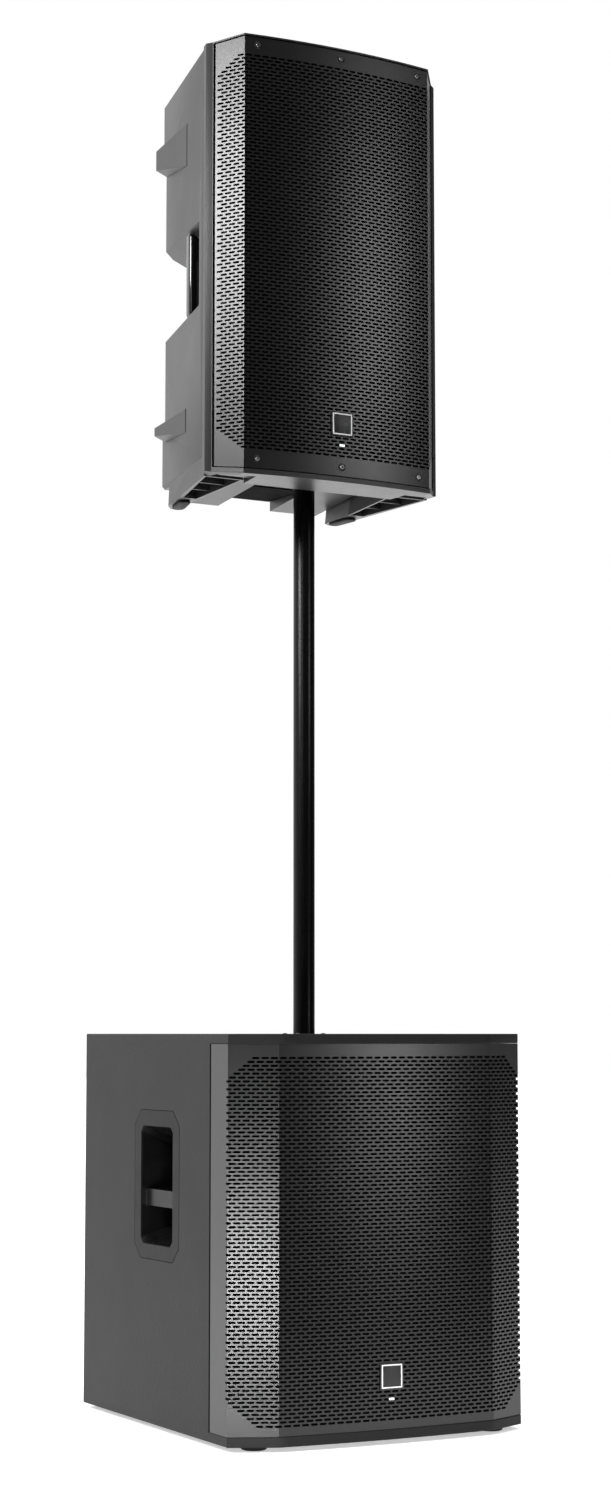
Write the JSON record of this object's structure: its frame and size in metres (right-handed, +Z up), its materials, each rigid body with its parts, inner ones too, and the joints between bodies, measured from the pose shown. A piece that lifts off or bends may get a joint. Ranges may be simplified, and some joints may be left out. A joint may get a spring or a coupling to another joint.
{
  "type": "pa speaker",
  "caption": "Powered two-way loudspeaker cabinet standing on a pole in the top of a powered subwoofer, with perforated steel grilles, hand grips and a rear amplifier panel on each box.",
  "frame": {"origin": "on the floor, midway across and midway along the subwoofer", "axes": "+Z up, -Y towards the listener, +X to the right seen from the front"},
  "size_m": [0.51, 0.582, 2.2182],
  "materials": {
    "cabinet_paint": "textured black paint on plywood",
    "moulding": "grained black moulding",
    "grille_steel": "black powder coat",
    "pole_steel": "satin black enamel",
    "black_plastic": "satin",
    "rubber": "matte",
    "cone_paper": "ribbed treated paper",
    "magnet_steel": "black plated",
    "basket_metal": "painted casting",
    "amp_plate": "satin black",
    "electronics": "matte",
    "badge": "satin with a white border",
    "light_lens": "clear lens"
  },
  "bodies": {
    "subwoofer": {"sub_amp_chassis": "electronics", "sub_amp_panel": "amp_plate", "sub_badge": "badge", "sub_baffle": "cabinet_paint", "sub_bottom_board": "cabinet_paint", "sub_foot_front_left": "rubber", "sub_foot_front_right": "rubber", "sub_foot_rear_left": "rubber", "sub_foot_rear_right": "rubber", "sub_grille": "grille_steel", "sub_handle_left": "moulding", "sub_handle_right": "moulding", "sub_mains_inlet": "black_plastic", "sub_pole_socket": "basket_metal", "sub_rear_board": "cabinet_paint", "sub_side_left": "cabinet_paint", "sub_side_right": "cabinet_paint", "sub_signal_socket_1": "black_plastic", "sub_signal_socket_2": "black_plastic", "sub_status_light": "light_lens", "sub_top_board": "cabinet_paint", "sub_woofer_basket": "basket_metal", "sub_woofer_magnet": "magnet_steel", "sub_woofer_surround": "rubber"},
    "pole": {"pole_top_plug": "black_plastic", "pole_tube": "pole_steel"},
    "cabinet": {"bumper_lower_left": "moulding", "bumper_lower_right": "moulding", "bumper_upper_left": "moulding", "bumper_upper_right": "moulding", "cabinet_amp_chassis": "electronics", "cabinet_amp_panel": "amp_plate", "cabinet_badge": "badge", "cabinet_foot_left": "rubber", "cabinet_foot_right": "rubber", "cabinet_front_shell": "moulding", "cabinet_grille": "grille_steel", "cabinet_mains_inlet": "black_plastic", "cabinet_pole_mount": "black_plastic", "cabinet_rear_shell": "moulding", "cabinet_signal_socket_1": "black_plastic", "cabinet_signal_socket_2": "black_plastic", "cabinet_status_light": "light_lens", "cabinet_woofer_basket": "basket_metal", "cabinet_woofer_magnet": "magnet_steel", "cabinet_woofer_surround": "rubber", "compression_driver": "magnet_steel", "hand_grip_left": "moulding", "hand_grip_right": "moulding", "horn": "black_plastic"},
    "sub_cone": {"sub_woofer_cone": "cone_paper"},
    "sub_switch": {"sub_power_switch": "black_plastic"},
    "sub_knob": {"sub_level_knob": "black_plastic"},
    "cabinet_cone": {"cabinet_woofer_cone": "cone_paper"},
    "cabinet_switch": {"cabinet_power_switch": "black_plastic"},
    "cabinet_knob": {"cabinet_level_knob": "black_plastic"}
  },
  "joints": [
    {"name": "pole_turn", "type": "hinge", "parent": "subwoofer", "child": "pole", "pos_m": [0, -0.0066, 0.611], "axis": [0, 0, 1], "continuous": true},
    {"name": "cabinet_lift", "type": "slide", "parent": "pole", "child": "cabinet", "axis": [0, 0, 1], "range_m": [0, 0.055]},
    {"name": "sub_cone_travel", "type": "slide", "parent": "subwoofer", "child": "sub_cone", "axis": [0, -1, 0], "range_m": [-0.008, 0.008], "stiffness_N_per_m": 8000},
    {"name": "cabinet_cone_travel", "type": "slide", "parent": "cabinet", "child": "cabinet_cone", "axis": [0, -1, 0], "range_m": [-0.005, 0.005], "stiffness_N_per_m": 5000},
    {"name": "sub_level_turn", "type": "hinge", "parent": "subwoofer", "child": "sub_knob", "pos_m": [0.095, 0.273, 0.392], "axis": [0, 1, 0], "range_deg": [-140, 140]},
    {"name": "cabinet_level_turn", "type": "hinge", "parent": "cabinet", "child": "cabinet_knob", "pos_m": [0.045, 0.2004, 1.8945], "axis": [0, 1, 0], "range_deg": [-140, 140]},
    {"name": "sub_power_rock", "type": "hinge", "parent": "subwoofer", "child": "sub_switch", "pos_m": [-0.055, 0.273, 0.222], "axis": [1, 0, 0], "range_deg": [-12, 0]},
    {"name": "cabinet_power_rock", "type": "hinge", "parent": "cabinet", "child": "cabinet_switch", "pos_m": [0.03, 0.2004, 1.6165], "axis": [1, 0, 0], "range_deg": [-12, 0]}
  ]
}
